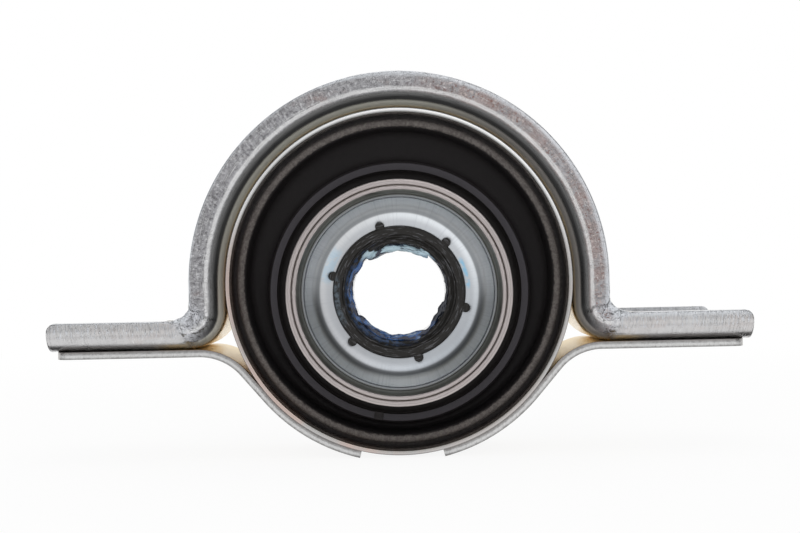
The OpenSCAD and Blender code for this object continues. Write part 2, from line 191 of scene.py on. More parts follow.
LIP_GROOVE_H = 0.6
LIP_TIP_W = 0.6
LIP_STEP_W = 1.1
LIP_STEP_H = (0.45, 0.75)
LIP_WAIST = 1
LIP_FRONT_TIP_H = 0.4
LIP_BACK_TIP_H = 0.3
LIP_EDGE = 0.15
NUB_COUNT = 6
NUB_ANGLE = 45.5
NUB_R = 1.5
NUB_REACH_R = 23.2
NUB_H = 1.4
NUB_EDGE = 0.35

# Rubber cushion
CREST_Y = -cushion_low.y
COLLAR_Y = cushion_high.y
CREST_DEPTH = 4
HOLLOW_DEPTH = 10
RIB_R = 38.85
RIB_W = 2.1
FLANK_R = 42.55
FLANK_BACK_R = 39.35
COLLAR_R = 49
FLEX_START_R = FLANK_R + 0.6
FLEX_END_R = COLLAR_R + 0.2
INNER_COLLAR_R = 37.65
WEB_FRONT_Y = 3
WEB_BACK_Y = 6.4
CUSHION_FILLET = 2.4
CUSHION_EDGE = 0.45
BEAD_R = 1.4
NOTCH_W = 3
NOTCH_ANGLE = 259.5

# Lumps of grease round the lip: first and last angle in degrees, radius and thickness
GREASE = ((60, 124, 13.9, 1.5), (124, 212, 15.4, 1.2), (212, 297, 14.5, 1.5), (297, 318, 15.0, 0.8),
          (318, 342, 14.3, 1.0), (-18, 60, 15.2, 0.7))
GREASE_STEP = 4
GREASE_VOXEL = 0.24
GREASE_SMOOTHING = 12
GREASE_RIPPLE_W = 1.6
GREASE_RIPPLE_H = 0.3

# Plain studio: brightness of the room, and lamps by name, place, size in metres and watts
PLAIN_LIGHT = 0.85
DARK_ROOM = 0.09
CAMERA_ROOM = 0.62
FLOOR_SIZE = 6
LAMPS = (("overhead", (0, -0.05, 0.8), 0.6, 0.8), ("front", (0.2, -1.1, 0.5), 0.8, 1.0))

# The photograph's view: place in millimetres, roll in degrees
CAMERA_PLACE = (0.4, -430, 8.1)
CAMERA_ROLL = 1.2
CAMERA_LENS = 59
CAMERA_SENSOR = 36


def arc(centre, radius, start, end, steps=6):
    """Points along an arc in a plane, from one angle to another in degrees."""
    turns = [math.radians(start + (end - start) * i / steps) for i in range(steps + 1)]
    return [(centre[0] + radius * math.cos(a), centre[1] + radius * math.sin(a)) for a in turns]


def even(start, end, steps):
    """Evenly spaced numbers from one value to another."""
    return [start + (end - start) * i / steps for i in range(steps + 1)]


# Modelling by hand

def only(piece):
    """Makes a piece the one that is selected and active."""
    bpy.ops.object.select_all(action="DESELECT")
    piece.select_set(True)
    bpy.context.view_layer.objects.active = piece


def name_piece(piece, name):
    piece.name = name
    piece.data.name = name
    return piece


def start_point(name, place):
    """A new piece in edit mode: one point, at a place in millimetres."""
    bpy.ops.object.select_all(action="DESELECT")
    bpy.ops.mesh.primitive_plane_add(size=MM)
    piece = name_piece(bpy.context.object, name)
    bpy.ops.object.mode_set(mode="EDIT")
    bpy.ops.mesh.select_mode(type="VERT")
    bpy.ops.mesh.select_all(action="SELECT")
    bpy.ops.mesh.merge(type="CENTER")
    bpy.ops.transform.translate(value=Vector(place) * MM)
    return piece


def extrude_point(places):
    """Extrudes the selected point from place to place, and leaves the whole line selected."""
    for here, there in zip(places, places[1:]):
        step = (Vector(there) - Vector(here)) * MM
        bpy.ops.mesh.extrude_vertices_move(TRANSFORM_OT_translate={"value": step})
    bpy.ops.mesh.select_all(action="SELECT")


def extrude_line(travel, steps):
    """Extrudes the selected line along a travel in millimetres, in even steps."""
    for _ in range(steps):
        step = Vector(travel) * MM / steps
        bpy.ops.mesh.extrude_region_move(TRANSFORM_OT_translate={"value": step})


def spin_line(centre_x, centre_z, degrees, steps):
    """Spins the selected line round an axis along the shaft, clockwise as seen from the front."""
    centre = Vector((centre_x, 0, centre_z)) * MM
    bpy.ops.mesh.spin(steps=steps, angle=math.radians(degrees), center=centre, axis=(0, -1, 0))


def close_mesh():
    """Merges doubled points, points the faces outwards and leaves edit mode."""
    bpy.ops.mesh.select_all(action="SELECT")
    bpy.ops.mesh.remove_doubles(threshold=MERGE)
    bpy.ops.mesh.normals_make_consistent(inside=False)
    bpy.ops.object.mode_set(mode="OBJECT")


def turned(name, profile, centre_z=0):
    """A closed profile of radius and Y, spun all the way round the shaft."""
    places = [(radius, y, centre_z) for radius, y in profile]
    piece = start_point(name, places[0])
    extrude_point(places + places[:1])
    bpy.ops.mesh.remove_doubles(threshold=MERGE)
    bpy.ops.mesh.select_all(action="SELECT")
    spin_line(0, centre_z, 360, TURN_STEPS)
    close_mesh()
    return piece


def modify(piece, kind, **settings):
    """Adds a modifier to a piece and applies it."""
    only(piece)
    modifier = piece.modifiers.new(kind.title(), kind)
    for setting, value in settings.items():
        setattr(modifier, setting, value)
    bpy.ops.object.modifier_apply(modifier=modifier.name)


def round_edges(piece, width, angle=30):
    """Rounds the edges of a piece that are sharper than an angle in degrees."""
    modify(piece, "BEVEL", width=width * MM, segments=EDGE_STEPS, limit_method="ANGLE",
           angle_limit=math.radians(angle), use_clamp_overlap=True)


def smooth(piece):
    """Welds points that fell together, and shades the piece smooth."""
    merge_near(piece, WELD)
    only(piece)
    bpy.ops.object.shade_smooth_by_angle(angle=math.radians(SMOOTH_ANGLE))


def eased(piece, width, angle=30):
    """A piece with its edges rounded and its faces shaded smooth."""
    round_edges(piece, width, angle=angle)
    smooth(piece)
    return piece


def pick_faces(piece, test):
    """Enters edit mode with the faces selected whose centre, in millimetres, passes a test."""
    only(piece)
    bpy.ops.object.mode_set(mode="EDIT")
    bpy.ops.mesh.select_mode(type="FACE")
    bpy.ops.mesh.select_all(action="DESELECT")
    bpy.ops.object.mode_set(mode="OBJECT")
    for face in piece.data.polygons:
        face.select = test(face.center / MM)
    bpy.ops.object.mode_set(mode="EDIT")


def cut_off(piece, test, place, direction, remove=True):
    """Cuts the picked faces by a plane and removes what lies beyond it."""
    pick_faces(piece, test)
    bpy.ops.mesh.bisect(plane_co=Vector(place) * MM, plane_no=direction, clear_outer=remove,
                        threshold=MERGE)
    bpy.ops.object.mode_set(mode="OBJECT")


def round_corner(piece, test, centre, across, up, radius):
    """Rounds a sheet's corner between two directions by small cuts."""
    for angle in even(10, 80, 7):
        away = math.cos(math.radians(angle)) * Vector(across) + math.sin(math.radians(angle)) * Vector(up)
        cut_off(piece, test, Vector(centre) + radius * away, away)


def edit_all(piece, operation, **settings):
    """Runs a mesh operation on the whole of a piece."""
    only(piece)
    bpy.ops.object.mode_set(mode="EDIT")
    bpy.ops.mesh.select_all(action="SELECT")
    operation(**settings)
    bpy.ops.object.mode_set(mode="OBJECT")


def merge_near(piece, apart):
    """Merges the points that lie closer together than a distance in millimetres."""
    edit_all(piece, bpy.ops.mesh.remove_doubles, threshold=apart * MM)


def face_towards(piece, place, direction):
    """Turns a sheet's faces over if the face nearest a place looks away from a direction."""
    nearest = min(piece.data.polygons, key=lambda face: (face.center / MM - Vector(place)).length)
    if nearest.normal.dot(Vector(direction)) < 0:
        edit_all(piece, bpy.ops.mesh.flip_normals)


def combine(piece, other, operation, solver="EXACT"):
    """Cuts another solid out of a piece, or joins it on, and removes the other."""
    modify(piece, "BOOLEAN", object=other, operation=operation, solver=solver)
    bpy.data.objects.remove(other)


def drill(piece, x, z):
    """Drills a bolt hole through a sheet."""
    bpy.ops.object.select_all(action="DESELECT")
    place = Vector((x, 0, z)) * MM
    bpy.ops.mesh.primitive_cylinder_add(vertices=HOLE_STEPS, radius=BOLT_R * MM,
                                        depth=4 * PLATE * MM, location=place)
    combine(piece, bpy.context.object, "DIFFERENCE")


def dress(piece, body, slot, finish, *nodes):
    """Gives a piece its finish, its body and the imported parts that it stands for."""
    piece.data.materials.clear()
    piece.data.materials.append(finish)
    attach(piece, body)
    if nodes:
        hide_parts(*nodes)
    return piece


# Pressed bracket and straps

def channel_section():
    """Outer face of the channel, from one flange's edge to the other: Y and height above the web."""
    flat = BRACKET_SIDE - BEND
    rows = [top - ROLLED_EDGE * share for top in (ARCH_FLANGE, FOOT_FLANGE) for share in ROLL_SHARES]
    half = [(-BRACKET_SIDE, row) for row in rows] + arc((-flat, BEND), BEND, 180, 270, BEND_STEPS)
    web = [(y, 0) for y in even(-flat, flat, WEB_STEPS)]
    mirrored = [(-y, height) for y, height in reversed(half)]
    return half + web[1:-1] + mirrored


def upper_bracket():
    """The channel pressed along the feet, the corners and the arch."""
    section = [(-BRACKET_END, y, FOOT_Z + height) for y, height in channel_section()]
    foot_l = BRACKET_END - FOOT_X - ROLLED_EDGE
    roll_steps = [ROLLED_EDGE * (b - a) for a, b in zip(ROLL_SHARES, ROLL_SHARES[1:])]
    side_h = RING_Z - CORNER_Z
    piece = start_point("pressed_bracket", section[0])
    extrude_point(section)
    for step in roll_steps:
        extrude_line((step, 0, 0), 1)
    extrude_line((foot_l, 0, 0), FOOT_STEPS)
    spin_line(-FOOT_X, CORNER_Z, -90, CORNER_STEPS)
    extrude_line((0, 0, side_h), SIDE_STEPS)
    spin_line(0, RING_Z, 180, ARCH_STEPS)
    extrude_line((0, 0, -side_h), SIDE_STEPS)
    spin_line(FOOT_X, CORNER_Z, -90, CORNER_STEPS)
    extrude_line((foot_l, 0, 0), FOOT_STEPS)
    for step in reversed(roll_steps):
        extrude_line((step, 0, 0), 1)
    close_mesh()
    trim_feet(piece, foot_l / FOOT_STEPS)
    trim_rear_flange(piece)
    face_towards(piece, (0, 0, RING_Z + WEB_R), (0, 0, -1))
    modify(piece, "SOLIDIFY", thickness=PLATE * MM, offset=-1, use_even_offset=True)
    for side in (-1, 1):
        drill(piece, side * BOLT_X, FOOT_Z)
    roll_rims(piece)
    crumple(piece)
    for side in (-1, 1):
        for face in (-1, 1):
            combine(piece, gathered_corner(side, face), "UNION", "MANIFOLD")
    weigh_gathers(piece)
    modify(piece, "SMOOTH", factor=0.5, iterations=GATHER_SMOOTHING, vertex_group="gathers")
    smooth(piece)
    return piece


def roll_rims(piece):
    """Rolls the outside of the sheet over along its outline, as the blanking die left it."""
    for vertex in piece.data.vertices:
        place = vertex.co / MM
        inwards = inwards_from_outside(place)
        if inwards:
            short = ROLLED_EDGE - max(0, rim_distance(place))
            if short > 0:
                vertex.co += inwards * (ROLLED_EDGE - math.sqrt(ROLLED_EDGE ** 2 - short ** 2)) * MM


def inwards_from_outside(place):
    """Direction into the sheet from a point on its outside, for the front flange, bend and web."""
    flat = BRACKET_SIDE - BEND
    centre = Vector((place.x, -flat, FOOT_Z + BEND))
    if place.y < TOUCH - BRACKET_SIDE:
        return Vector((0, 1, 0))
    if abs(place.x) > FOOT_X and place.y < -flat and place.z < centre.z:
        towards = centre - place
        return towards.normalized() if towards.length > BEND - TOUCH else None
    if abs(place.x) > FOOT_X and place.y < flat and place.z < FOOT_Z + TOUCH:
        return Vector((0, 0, 1))
    return None


def rim_distance(place):
    """Distance of a point on the outside from the bracket's outline, as seen from the front."""
    x = abs(place.x)
    reach = math.hypot(x, place.z - RING_Z) if place.z > RING_Z else x
    above = FOOT_Z + FOOT_FLANGE - place.z
    beside = BRACKET_END - x
    if above < FLANGE_END_ROUND and beside < FLANGE_END_ROUND:
        return FLANGE_END_ROUND - math.hypot(FLANGE_END_ROUND - above, FLANGE_END_ROUND - beside)
    return min(max(WEB_R + ARCH_FLANGE - reach, above), beside)


def trim_feet(piece, step):
    """Lowers the flanges on the feet, with a slope at the gathers, and rounds their ends."""
    gather_l = GATHER_STEPS * step
    rise = ARCH_FLANGE - FOOT_FLANGE
    top = FOOT_Z + FOOT_FLANGE
    for side in (-1, 1):
        cut_off(piece, lambda c: FOOT_X < side * c.x < FOOT_X + gather_l,
                (side * (FOOT_X + gather_l), 0, top), (side * rise, 0, gather_l))
        cut_off(piece, lambda c: side * c.x > FOOT_X, (0, 0, top), (0, 0, 1))
        round_corner(piece, lambda c: side * c.x > BRACKET_END - 3 * FLANGE_END_ROUND,
                     (side * (BRACKET_END - FLANGE_END_ROUND), 0, top - FLANGE_END_ROUND),
                     (side, 0, 0), (0, 0, 1), FLANGE_END_ROUND)


def trim_rear_flange(piece):
    """Sets the rear flange back at the ends of the feet, and lowers it on the left foot."""
    bend_top = FOOT_Z + BEND
    top = FOOT_Z + FOOT_FLANGE
    low = bend_top + REAR_LEFT_RISE
    end = BRACKET_END - REAR_SETBACK
    end_r = FOOT_FLANGE - BEND
    step = WEB_R + ARCH_FLANGE + FLANGE_FILLET
    slope_end = step + 2 * (top - low)

    def behind(c):
        return c.y > BRACKET_SIDE - TOUCH and c.z > bend_top

    for side in (-1, 1):
        cut_off(piece, lambda c: behind(c) and side * c.x > FOOT_X, (side * end, 0, 0), (side, 0, 0))
        round_corner(piece, lambda c: behind(c) and side * c.x > end - 2 * end_r,
                     (side * (end - end_r), 0, top - end_r), (side, 0, 0), (0, 0, 1), end_r)
    for x in (step, slope_end):
        cut_off(piece, lambda c: behind(c) and c.x < -FOOT_X, (-x, 0, 0), (-1, 0, 0), remove=False)
    cut_off(piece, lambda c: behind(c) and c.x < -slope_end, (0, 0, low), (0, 0, 1))
    cut_off(piece, lambda c: behind(c) and -slope_end < c.x < -step, (-step, 0, top), (-1, 0, 2))


def gather_folds():
    """Texture of the lumps and creases in the gathered sheet."""
    folds = bpy.data.textures.get("gathered_sheet")
    if not folds:
        folds = bpy.data.textures.new("gathered_sheet", "CLOUDS")
        folds.noise_scale = GATHER_LUMP * MM
        folds.noise_depth = 1
    return folds


def near_gathers(place):
    """How near a place is to a gathered corner: 1 at the corner, 0 out of its reach."""
    corner = Vector((WEB_R + ARCH_FLANGE + 1, BRACKET_SIDE - PLATE / 2, FOOT_Z + FOOT_FLANGE))
    apart = Vector((abs(place.x), abs(place.y), place.z)) - corner
    return max(0, 1 - apart.length / GATHER_REACH)


def crumple(piece):
    """Crumples the flanges where the pressing gathered the sheet in the corners."""
    pick_faces(piece, lambda c: near_gathers(c) > 0)
    bpy.ops.mesh.subdivide(number_cuts=3)
    bpy.ops.object.mode_set(mode="OBJECT")
    weigh_gathers(piece)
    modify(piece, "DISPLACE", texture=gather_folds(), texture_coords="LOCAL",
           strength=GATHER_CRUMPLE * MM, mid_level=0.5, vertex_group="gathers")


def weigh_gathers(piece):
    """Marks the points near the gathered corners in a group."""
    group = piece.vertex_groups.get("gathers") or piece.vertex_groups.new(name="gathers")
    for vertex in piece.data.vertices:
        weight = near_gathers(vertex.co / MM)
        if weight > 0:
            group.add([vertex.index], min(1, GATHER_FULL * weight), "REPLACE")


def gathered_corner(side, face):
    """The crumpled fillet of sheet between the arch's flange and a foot's flange."""
    edge_x = WEB_R + ARCH_FLANGE
    edge_z = FOOT_Z + FOOT_FLANGE
    y = face * (BRACKET_SIDE - PLATE / 2)
    root = Vector((side * (edge_x - FILLET_DEPTH), y, edge_z - FILLET_DEPTH))
    low_flange = side < 0 < face
    spread = 1 if low_flange else FILLET_SPREAD
    line = [(side * (edge_x + spread * x), y, edge_z + z) for x, z in
            arc((FLANGE_FILLET, FLANGE_FILLET), FLANGE_FILLET, 180, 270, FILLET_STEPS)]
    piece = start_point("gathered_corner", line[0])
    extrude_point(line)
    for row in range(FILLET_ROWS, FILLET_ROOT_ROWS, -1):
        shrink = (row - 1) / row
        bpy.ops.mesh.extrude_region_move()
        bpy.ops.transform.resize(value=(shrink, 1, shrink), center_override=root * MM)
    close_mesh()
    modify(piece, "SOLIDIFY", thickness=(PLATE + FILLET_PROUD) * MM, offset=0)
    round_edges(piece, FILLET_EDGE, angle=60)
    modify(piece, "DISPLACE", texture=gather_folds(), texture_coords="LOCAL",
           strength=FILLET_CRUMPLE * MM, mid_level=0.4)
    return piece


def strap_bend():
    """Radius and X of the bend in a strap's upper face, and X where the strap leaves the sleeve."""
    bend_r = STRAP_BEND + STRAP_SHEET
    slope = math.radians(STRAP_SLOPE)
    hug_x = WEB_R * math.sin(slope)
    hug_z = RING_Z - WEB_R * math.cos(slope)
    climb = FOOT_Z - bend_r + bend_r * math.cos(slope) - hug_z
    return bend_r, hug_x + climb / math.tan(slope) + bend_r * math.sin(slope), hug_x


def strap_line():
    """Upper face of the right strap, seen from the front: X and Z from the sleeve to the end."""
    bend_r, flat_x, _ = strap_bend()
    hug = arc((0, RING_Z), WEB_R, STRAP_HUG_END - 90, STRAP_SLOPE - 90, STRAP_STEPS)
    bend = arc((flat_x, FOOT_Z - bend_r), bend_r, 90 + STRAP_SLOPE, 90, STRAP_STEPS)
    flat = [(x, FOOT_Z) for x in even(flat_x, STRAP_END, SHEET_STEPS)]
    return hug + bend + flat[1:]


def strap(name, side):
    """A bent strap on one side, from its end at the bottom to its end under the foot."""
    line = [(side * x, -STRAP_SIDE, z) for x, z in strap_line()]
    piece = start_point(name, line[0])
    extrude_point(line)
    extrude_line((0, 2 * STRAP_SIDE, 0), SHEET_STEPS)
    close_mesh()
    for end in (-1, 1):
        round_corner(piece, lambda c: side * c.x > STRAP_END - 3 * STRAP_CORNER_ROUND,
                     (side * (STRAP_END - STRAP_CORNER_ROUND), end * (STRAP_SIDE - STRAP_CORNER_ROUND),
                      FOOT_Z), (side, 0, 0), (0, end, 0), STRAP_CORNER_ROUND)
    merge_near(piece, STRAP_WELD)
    face_towards(piece, (side * STRAP_END, 0, FOOT_Z), (0, 0, 1))
    modify(piece, "SOLIDIFY", thickness=STRAP_SHEET * MM, offset=-1, use_even_offset=True)
    drill(piece, side * BOLT_X, FOOT_Z)
    return eased(piece, STRAP_EDGE, angle=50)


# Turned sleeves and rings

def outer_sleeve():
    piece = turned("cushion_sleeve", [
        (RING_BORE_R, -RING_HALF), (RING_R, -RING_HALF),
        (RING_R, RING_HALF), (RING_BORE_R, RING_HALF)], RING_Z)
    return eased(piece, RING_EDGE)


def bearing_sleeve():
    piece = turned("bearing_sleeve", [
        (TUBE_BORE_R, -TUBE_HALF), (TUBE_R, -TUBE_HALF),
        (TUBE_R, TUBE_HALF), (TUBE_BORE_R, TUBE_HALF)])
    return eased(piece, TUBE_EDGE)


def both_ends(profile, end):
    """A profile drawn with Y away from the bearing, turned to the front or the rear."""
    return [(radius, end * y) for radius, y in profile]


def retaining_ring(name, end):
    """The ring in the rim of the bearing sleeve, which backs the shield."""
    piece = turned(name, both_ends([
        (TUBE_BORE_R, TUBE_HALF - RETAINER_JOINT), (TUBE_BORE_R, RETAINER_BACK),
        (RETAINER_SEAT_R, RETAINER_BACK), (RETAINER_SEAT_R, SHIELD_EDGE_Y),
        (RETAINER_RIM_R, TUBE_HALF), (TUBE_BORE_R - RETAINER_JOINT, TUBE_HALF)], end))
    return eased(piece, RETAINER_EDGE, angle=20)


def seal_shield(name, end):
    """The drawn dish that carries the rubber lip."""
    inner_r = RETAINER_SEAT_R - SHIELD_SHEET
    seat_end = SHIELD_EDGE_Y - SHIELD_SEAT_L
    cone = math.degrees(math.atan2(seat_end - SHIELD_FRONT_Y, inner_r - SHIELD_FLAT_R))
    rise = 90 - cone
    bend = (SHIELD_FLAT_R - SHIELD_BEND * math.tan(math.radians(cone / 2)), SHIELD_FRONT_Y + SHIELD_BEND)
    rim = (inner_r - SHIELD_RIM_BEND, seat_end + SHIELD_RIM_BEND * math.tan(math.radians(rise / 2)))
    piece = turned(name, both_ends(
        [(RETAINER_SEAT_R, SHIELD_EDGE_Y)]
        + arc(rim, SHIELD_RIM_BEND + SHIELD_SHEET, 0, -rise)
        + arc(bend, SHIELD_BEND + SHIELD_SHEET, -rise, -90, 10)
        + [(SHIELD_HOLE_R, SHIELD_BACK_Y), (SHIELD_HOLE_R, SHIELD_FRONT_Y)]
        + arc(bend, SHIELD_BEND, -90, -rise, 10)
        + arc(rim, SHIELD_RIM_BEND, -rise, 0)
        + [(inner_r, SHIELD_EDGE_Y)], end))
    return eased(piece, SHIELD_SHEET_EDGE, angle=50)


def seal_lip(name, end):
    """The rubber lip on the shield's edge, with a wiping lip each way, a groove and nubs all round."""
    bead_front = SHIELD_FRONT_Y + LIP_BEAD_H
    groove_floor = bead_front - LIP_GROOVE_H
    step_low, step_high = (bead_front + height for height in LIP_STEP_H)
    piece = turned(name, both_ends([
        (SHIELD_HOLE_R, SHIELD_BACK_Y), (SHIELD_HOLE_R, SHIELD_FRONT_Y), (LIP_BEAD_R, SHIELD_FRONT_Y),
        (LIP_BEAD_R, bead_front - LIP_BEAD_EDGE), (LIP_BEAD_R - LIP_BEAD_EDGE, bead_front),
        (LIP_ROOT_R, bead_front), (LIP_ROOT_R - LIP_GROOVE_W / 4, groove_floor),
        (LIP_ROOT_R - LIP_GROOVE_W * 3 / 4, groove_floor), (LIP_ROOT_R - LIP_GROOVE_W, bead_front),
        (LIP_R + 2 * LIP_TIP_W, step_low), (LIP_R + LIP_STEP_W, step_high),
        (LIP_R + LIP_TIP_W, LIP_FRONT_Y), (LIP_R, LIP_FRONT_Y - LIP_FRONT_TIP_H),
        (LIP_ROOT_R - LIP_WAIST, SHIELD_FRONT_Y),
        (LIP_R, LIP_BACK_Y + LIP_BACK_TIP_H), (LIP_R + LIP_TIP_W, LIP_BACK_Y),
        (LIP_BACK_R, LIP_BACK_Y), (LIP_BACK_R, SHIELD_BACK_Y)], end))
    round_edges(piece, LIP_EDGE, angle=20)
    for i in range(NUB_COUNT):
        combine(piece, nub(math.radians(NUB_ANGLE + i * 360 / NUB_COUNT), end), "UNION")
    smooth(piece)
    return piece


def nub(angle, end):
    """A rubber nub that reaches over the shield from the bead."""
    centre_r = NUB_REACH_R - NUB_R
    place = Vector((centre_r * math.cos(angle), end * (SHIELD_FRONT_Y + NUB_H / 2),
                    centre_r * math.sin(angle)))
    bpy.ops.object.select_all(action="DESELECT")
    bpy.ops.mesh.primitive_cylinder_add(vertices=NUB_STEPS, radius=NUB_R * MM, depth=NUB_H * MM,
                                        location=place * MM, rotation=(math.pi / 2, 0, 0))
    piece = bpy.context.object
    bpy.ops.object.transform_apply(location=True, rotation=True, scale=True)
    round_edges(piece, NUB_EDGE)
    return piece


def grease():
    """Lumps of grease that the lip has wiped off, melted together round its edge."""
    dice = random.Random(11)
    lumps = []
    for first, last, radius, thick in GREASE:
        for angle in even(first, last, round((last - first) / GREASE_STEP)):
            turn = math.radians(angle + dice.uniform(-3, 3))
            reach = radius + dice.uniform(-0.2, 0.4)
            depth = LIP_FRONT_Y - dice.uniform(0.1, 1.6)
            place = Vector((reach * math.cos(turn), -depth, reach * math.sin(turn)))
            bpy.ops.object.select_all(action="DESELECT")
            bpy.ops.mesh.primitive_ico_sphere_add(
                subdivisions=2, radius=thick * dice.uniform(0.45, 0.9) * MM, location=place * MM,
                rotation=(0, dice.uniform(-0.3, 0.3) - turn, 0), scale=(0.9, 0.7, dice.uniform(2.2, 3.6)))
            lumps.append(bpy.context.object)
    only(lumps[0])
    for lump in lumps:
        lump.select_set(True)
    bpy.ops.object.join()
    piece = name_piece(bpy.context.object, "wiped_grease")
    bpy.ops.object.transform_apply(location=True, rotation=True, scale=True)
    modify(piece, "REMESH", mode="VOXEL", voxel_size=GREASE_VOXEL * MM)
    modify(piece, "SMOOTH", factor=0.6, iterations=GREASE_SMOOTHING)
    ripples = bpy.data.textures.new("grease_ripples", "CLOUDS")
    ripples.noise_scale = GREASE_RIPPLE_W * MM
    modify(piece, "DISPLACE", texture=ripples, texture_coords="LOCAL",
           strength=GREASE_RIPPLE_H * MM, mid_level=0.4)
    only(piece)
    bpy.ops.object.shade_smooth()
    return piece


# Rubber cushion

def ring_share(radius):
    """Share of the outer sleeve's place that a point of the cushion takes: 0 inside, 1 outside."""
    share = min(1, max(0, (radius - FLEX_START_R) / (FLEX_END_R - FLEX_START_R)))
    return share * share * (3 - 2 * share)


def rubber_cushion():
    """The moulded cushion: collar, rib on the crest, convolution, web and beaded outer collar."""
    groove_r = (RIB_R - TUBE_R) / 2
    groove_y = CREST_DEPTH - CREST_Y
    hollow_y = HOLLOW_DEPTH - CREST_Y
    bead_y = BEAD_R - COLLAR_Y
    fillet_y = WEB_FRONT_Y - CUSHION_FILLET
    profile = (
        [(TUBE_R, groove_y)]
        + arc((TUBE_R + groove_r, groove_y), groove_r - 0.2, 180, 0, 8)
        + [(RIB_R, groove_y), (RIB_R, -CREST_Y), (RIB_R + RIB_W, -CREST_Y), (FLANK_R - 0.6, groove_y)]
        + arc((FLANK_R + CUSHION_FILLET, fillet_y), CUSHION_FILLET, 180, 90)
        + arc((COLLAR_R - CUSHION_FILLET, fillet_y), CUSHION_FILLET, 90, 0)
        + arc((COLLAR_R + BEAD_R, bead_y), BEAD_R, 180, 360, 10)
        + [(COLLAR_R + 2 * BEAD_R, bead_y + BEAD_R), (RING_BORE_R, bead_y + BEAD_R),
           (RING_BORE_R, COLLAR_Y), (COLLAR_R, COLLAR_Y), (COLLAR_R, WEB_BACK_Y),
           (FLANK_BACK_R, WEB_BACK_Y), (FLANK_BACK_R, hollow_y), (INNER_COLLAR_R, hollow_y),
           (INNER_COLLAR_R, COLLAR_Y), (TUBE_R, COLLAR_Y)])
    piece = turned("moulded_cushion", profile)
    round_edges(piece, CUSHION_EDGE, angle=35)
    cut_notch(piece)
    merge_near(piece, WELD)
    shares = [ring_share(math.hypot(vertex.co.x, vertex.co.z) / MM) for vertex in piece.data.vertices]
    for vertex, share in zip(piece.data.vertices, shares):
        vertex.co.z += share * RING_Z * MM
    smooth(piece)
    return piece, shares


def cut_notch(piece):
    """Cuts the mould's notch out of the rib."""
    angle = math.radians(NOTCH_ANGLE)
    radius = RIB_R + RIB_W / 2
    bpy.ops.object.select_all(action="DESELECT")
    bpy.ops.mesh.primitive_cube_add(size=MM)
    cutter = bpy.context.object
    cutter.scale = (2 * RIB_W, RIB_W, NOTCH_W)
    cutter.rotation_euler = (0, -angle, 0)
    cutter.location = Vector((radius * math.cos(angle), -CREST_Y, radius * math.sin(angle))) * MM
    bpy.ops.object.transform_apply(location=True, rotation=True, scale=True)
    combine(piece, cutter, "DIFFERENCE")


def hang_between(piece):
    """Bakes the cushion's transform into its mesh."""
    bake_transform(piece)


# Finishes

class Nodes:
    """Short words for drawing a node tree."""

    def __init__(self, tree):
        self.nodes = tree.nodes
        self.links = tree.links

    def add(self, kind, *sources, **settings):
        """Adds a node. Sources feed its first inputs, and settings name a property or an input."""
        node = self.nodes.new(kind)
        for name, value in settings.items():
            if hasattr(node, name):
                setattr(node, name, value)
            else:
                self.feed(node.inputs[name], value)
        for socket, source in zip(node.inputs, sources):
            self.feed(socket, source)
        return node

    def feed(self, socket, source):
        if isinstance(source, bpy.types.NodeSocket):
            self.links.new(source, socket)
        else:
            socket.default_value = source

    def maths(self, operation, *sources):
        return self.add("ShaderNodeMath", *sources, operation=operation).outputs[0]

    def plus(self, first, second):
        return self.maths("ADD", first, second)

    def minus(self, first, second):
        return self.maths("SUBTRACT", first, second)

    def size(self, value):
        return self.maths("ABSOLUTE", value)

    def above_zero(self, value):
        return self.maths("MAXIMUM", value, 0.0)

    def times(self, first, *others):
        for other in others:
            first = self.maths("MULTIPLY", first, other)
        return first

    def slant(self, across, up):
        """Length of a line that runs so far across and so far up."""
        return self.maths("SQRT", self.plus(self.times(across, across), self.times(up, up)))

    def spread(self, value, ends, values, **settings):
        """A value mapped to a range of its own, by the names of the ends that are set."""
        node = self.add("ShaderNodeMapRange", **settings)
        for socket, source in zip(("Value",) + ends, (value,) + values):
            self.feed(node.inputs[socket], source)
        return node.outputs[0]

    def rise(self, value, low, high):
        """A smooth step of a value from 0 at low to 1 at high."""
        return self.spread(value, ("From Min", "From Max"), (low, high), interpolation_type="SMOOTHSTEP")

    def mapped(self, value, low, high):
        """A value from 0 to 1 spread over a range."""
        return self.spread(value, ("To Min", "To Max"), (low, high))

    def between(self, factor, first, second):
        """A number between two others."""
        return self.add("ShaderNodeMix", factor, A=first, B=second).outputs[0]

    def vector(self, operation, *sources):
        return self.add("ShaderNodeVectorMath", *sources, operation=operation).outputs

    def split(self, vector):
        return self.add("ShaderNodeSeparateXYZ", vector).outputs

    def ray(self):
        """Whether a ray shows the background itself, and whether it is a mirrored one."""
        path = self.add("ShaderNodeLightPath").outputs
        seen = self.maths("MAXIMUM", path["Is Camera Ray"], path["Is Transmission Ray"])
        return seen, path["Is Glossy Ray"]


